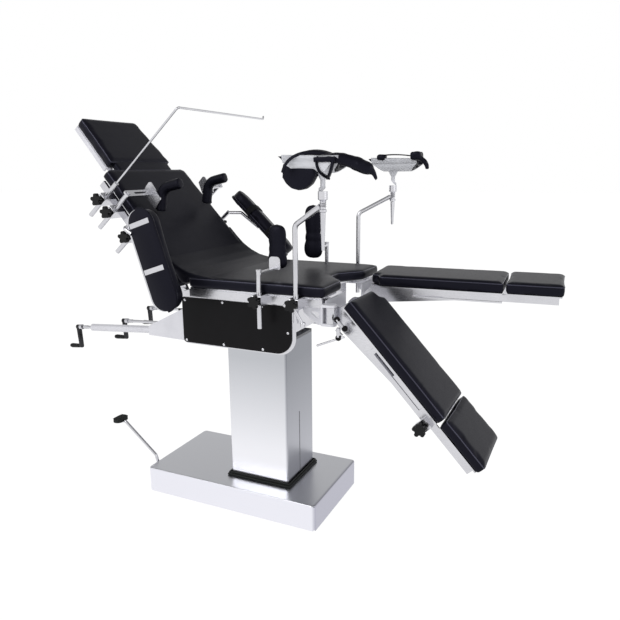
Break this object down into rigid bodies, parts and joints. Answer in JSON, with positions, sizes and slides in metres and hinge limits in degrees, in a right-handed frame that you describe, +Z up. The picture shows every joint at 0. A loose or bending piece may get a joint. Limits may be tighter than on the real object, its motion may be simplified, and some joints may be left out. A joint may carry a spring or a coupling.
{
  "type": "operating table",
  "caption": "Hydraulic operating table with raised back, split leg sections, crank drives, arm boards, shoulder and side supports, knee crutches and a drape screen.",
  "frame": {"origin": "on the floor, under the middle of the base cover", "axes": "+X towards the foot end, +Y towards the side away from the picture's camera, +Z up"},
  "size_m": [1.8446, 0.7678, 1.4065],
  "materials": {
    "satin_steel": "satin",
    "dark_steel": "semi-gloss",
    "leatherette": "satin",
    "foam_liner": "matt",
    "black_plastic": "matt",
    "grey_plastic": "gloss",
    "black_steel": "semi-gloss",
    "silver_paint": "satin",
    "grey_paint": "satin",
    "black_rubber": "matt"
  },
  "bodies": {
    "base": {"base_cover": "satin_steel", "chassis": "grey_paint", "levelling_feet": "black_rubber", "column_skirt": "satin_steel", "hydraulic_unit": "silver_paint"},
    "pedal": {"pedal_lever": "satin_steel", "pedal_pad": "black_rubber"},
    "lift": {"column_cover": "satin_steel", "lift_carriage": "satin_steel"},
    "cradle": {"tilt_cradle": "satin_steel"},
    "top": {"table_frame": "satin_steel", "side_panels": "black_steel", "seat_pad": "leatherette", "leg_brackets": "silver_paint", "crank_housing": "silver_paint", "seat_clamps": "satin_steel", "seat_clamp_knobs": "black_plastic"},
    "back": {"back_frame": "satin_steel", "back_pad": "leatherette", "back_clamps": "satin_steel", "back_clamp_knobs": "black_plastic"},
    "head": {"head_frame": "silver_paint", "head_pad": "leatherette"},
    "screen": {"screen_frame": "satin_steel"},
    "shoulder_near": {"shoulder_bracket_near": "satin_steel", "shoulder_pad_near": "leatherette"},
    "arm_board_near": {"arm_tray_near": "black_steel", "arm_pad_near": "leatherette"},
    "side_support_near": {"side_support_near": "satin_steel", "side_pad_near": "leatherette"},
    "crutch_near": {"crutch_rod_near": "satin_steel"},
    "gutter_near": {"crutch_shell_near": "grey_plastic", "crutch_pad_near": "foam_liner"},
    "yoke_near": {"leg_yoke_near": "satin_steel"},
    "leg_near": {"leg_frame_near": "satin_steel", "leg_pad_near": "leatherette"},
    "foot_near": {"foot_rail_near": "satin_steel", "foot_pad_near": "leatherette"},
    "leg_knob_near": {"leg_knob_near": "black_plastic"},
    "shoulder_far": {"shoulder_bracket_far": "satin_steel", "shoulder_pad_far": "leatherette"},
    "arm_board_far": {"arm_tray_far": "black_steel", "arm_pad_far": "leatherette"},
    "side_support_far": {"side_support_far": "satin_steel", "side_pad_far": "leatherette"},
    "crutch_far": {"crutch_rod_far": "satin_steel"},
    "gutter_far": {"crutch_shell_far": "grey_plastic", "crutch_pad_far": "foam_liner"},
    "yoke_far": {"leg_yoke_far": "satin_steel"},
    "leg_far": {"leg_frame_far": "satin_steel", "leg_pad_far": "leatherette"},
    "foot_far": {"foot_rail_far": "satin_steel", "foot_pad_far": "leatherette"},
    "leg_knob_far": {"leg_knob_far": "black_plastic"},
    "crank_back": {"crank_back": "dark_steel"},
    "grip_back": {"grip_back": "black_plastic"},
    "crank_tilt": {"crank_tilt": "dark_steel"},
    "grip_tilt": {"grip_tilt": "black_plastic"},
    "crank_trend": {"crank_trend": "dark_steel"},
    "grip_trend": {"grip_trend": "black_plastic"}
  },
  "joints": [
    {"name": "lift_slide", "type": "slide", "parent": "base", "child": "lift", "axis": [0, 0, 1], "range_m": [0, 0.25]},
    {"name": "trendelenburg", "type": "hinge", "parent": "lift", "child": "cradle", "pos_m": [0.09, 0, 0.68], "axis": [0, -1, 0], "range_deg": [-20, 25]},
    {"name": "lateral_tilt", "type": "hinge", "parent": "cradle", "child": "top", "pos_m": [0.09, 0, 0.735], "axis": [1, 0, 0], "range_deg": [-20, 20]},
    {"name": "pedal_pivot", "type": "hinge", "parent": "base", "child": "pedal", "pos_m": [-0.305, -0.12, 0.06], "axis": [0, -1, 0], "range_deg": [0, 25], "stiffness_Nm_per_rad": 4, "springref_deg": -20.05},
    {"name": "back_hinge", "type": "hinge", "parent": "top", "child": "back", "pos_m": [-0.14, 0, 0.8], "axis": [0, 1, 0], "range_deg": [-57, 21]},
    {"name": "head_hinge", "type": "hinge", "parent": "back", "child": "head", "pos_m": [-0.45451, 0, 1.19838], "axis": [0, -1, 0], "range_deg": [-40, 90]},
    {"name": "screen_swivel", "type": "hinge", "parent": "back", "child": "screen", "pos_m": [-0.39722, -0.262, 1.11038], "axis": [0.7547, 0, 0.6561], "range_deg": [-90, 90]},
    {"name": "shoulder_swivel_near", "type": "hinge", "parent": "back", "child": "shoulder_near", "pos_m": [-0.36114, -0.262, 1.06887], "axis": [-0.7547, 0, -0.6561], "range_deg": [-50, 15]},
    {"name": "arm_board_swivel_near", "type": "hinge", "parent": "back", "child": "arm_board_near", "pos_m": [-0.2916, -0.262, 0.98887], "axis": [-0.7547, 0, -0.6561], "range_deg": [0, 60]},
    {"name": "side_support_slide_near", "type": "slide", "parent": "top", "child": "side_support_near", "axis": [0, 0, 1], "range_m": [0, 0.08]},
    {"name": "crutch_slide_near", "type": "slide", "parent": "top", "child": "crutch_near", "axis": [0, 0, 1], "range_m": [-0.03, 0.1]},
    {"name": "gutter_swivel_near", "type": "hinge", "parent": "crutch_near", "child": "gutter_near", "pos_m": [0.438, -0.314, 1.15], "axis": [0, 0, 1], "range_deg": [-60, 60]},
    {"name": "leg_splay_near", "type": "hinge", "parent": "top", "child": "yoke_near", "pos_m": [0.432, -0.244, 0.78], "axis": [0, 0, -1], "range_deg": [0, 90]},
    {"name": "leg_flex_near", "type": "hinge", "parent": "yoke_near", "child": "leg_near", "pos_m": [0.432, -0.244, 0.78], "axis": [0, 1, 0], "range_deg": [-62.5, 42.5]},
    {"name": "foot_slide_near", "type": "slide", "parent": "leg_near", "child": "foot_near", "axis": [0.6756, 0, -0.7373], "range_m": [0, 0.12]},
    {"name": "leg_knob_turn_near", "type": "hinge", "parent": "leg_near", "child": "leg_knob_near", "pos_m": [0.71956, -0.258, 0.47655], "axis": [0, -1, 0], "continuous": true},
    {"name": "shoulder_swivel_far", "type": "hinge", "parent": "back", "child": "shoulder_far", "pos_m": [-0.36114, 0.262, 1.06887], "axis": [0.7547, 0, 0.6561], "range_deg": [-50, 15]},
    {"name": "arm_board_swivel_far", "type": "hinge", "parent": "back", "child": "arm_board_far", "pos_m": [-0.2916, 0.262, 0.98887], "axis": [0.7547, 0, 0.6561], "range_deg": [0, 40]},
    {"name": "side_support_slide_far", "type": "slide", "parent": "top", "child": "side_support_far", "axis": [0, 0, 1], "range_m": [0, 0.08]},
    {"name": "crutch_slide_far", "type": "slide", "parent": "top", "child": "crutch_far", "axis": [0, 0, 1], "range_m": [-0.03, 0.1]},
    {"name": "gutter_swivel_far", "type": "hinge", "parent": "crutch_far", "child": "gutter_far", "pos_m": [0.438, 0.314, 1.15], "axis": [0, 0, 1], "range_deg": [-60, 60]},
    {"name": "leg_splay_far", "type": "hinge", "parent": "top", "child": "yoke_far", "pos_m": [0.432, 0.244, 0.78], "axis": [0, 0, 1], "range_deg": [-3.4, 86.6]},
    {"name": "leg_flex_far", "type": "hinge", "parent": "yoke_far", "child": "leg_far", "pos_m": [0.432, 0.244, 0.78], "axis": [-0.0593, 0.9982, 0], "range_deg": [-15, 90]},
    {"name": "foot_slide_far", "type": "slide", "parent": "leg_far", "child": "foot_far", "axis": [0.9982, 0.0593, 0], "range_m": [0, 0.12]},
    {"name": "leg_knob_turn_far", "type": "hinge", "parent": "leg_far", "child": "leg_knob_far", "pos_m": [0.84843, 0.28276, 0.787], "axis": [-0.0593, 0.9982, 0], "continuous": true},
    {"name": "crank_back_turn", "type": "hinge", "parent": "top", "child": "crank_back", "pos_m": [-0.732, -0.1, 0.593], "axis": [0.9974, 0, 0.0715], "range_deg": [-684, 252]},
    {"name": "grip_back_turn", "type": "hinge", "parent": "crank_back", "child": "grip_back", "pos_m": [-0.72635, -0.1, 0.5142], "axis": [0.9974, 0, 0.0715], "continuous": true},
    {"name": "crank_tilt_turn", "type": "hinge", "parent": "top", "child": "crank_tilt", "pos_m": [-0.584, 0, 0.61], "axis": [0.9986, 0, 0.0523], "range_deg": [-200, 200]},
    {"name": "grip_tilt_turn", "type": "hinge", "parent": "crank_tilt", "child": "grip_tilt", "pos_m": [-0.58039, 0, 0.54109], "axis": [0.9986, 0, 0.0523], "continuous": true},
    {"name": "crank_trend_turn", "type": "hinge", "parent": "top", "child": "crank_trend", "pos_m": [-0.535, 0.1, 0.646], "axis": [0.9986, 0, 0.0523], "range_deg": [-200, 250]},
    {"name": "grip_trend_turn", "type": "hinge", "parent": "crank_trend", "child": "grip_trend", "pos_m": [-0.53181, 0.1, 0.58508], "axis": [0.9986, 0, 0.0523], "continuous": true}
  ],
  "couplings": [
    {"joint": "crank_back_turn", "follows": "back_hinge", "ratio": 12},
    {"joint": "crank_tilt_turn", "follows": "lateral_tilt", "ratio": 10},
    {"joint": "crank_trend_turn", "follows": "trendelenburg", "ratio": 10}
  ]
}
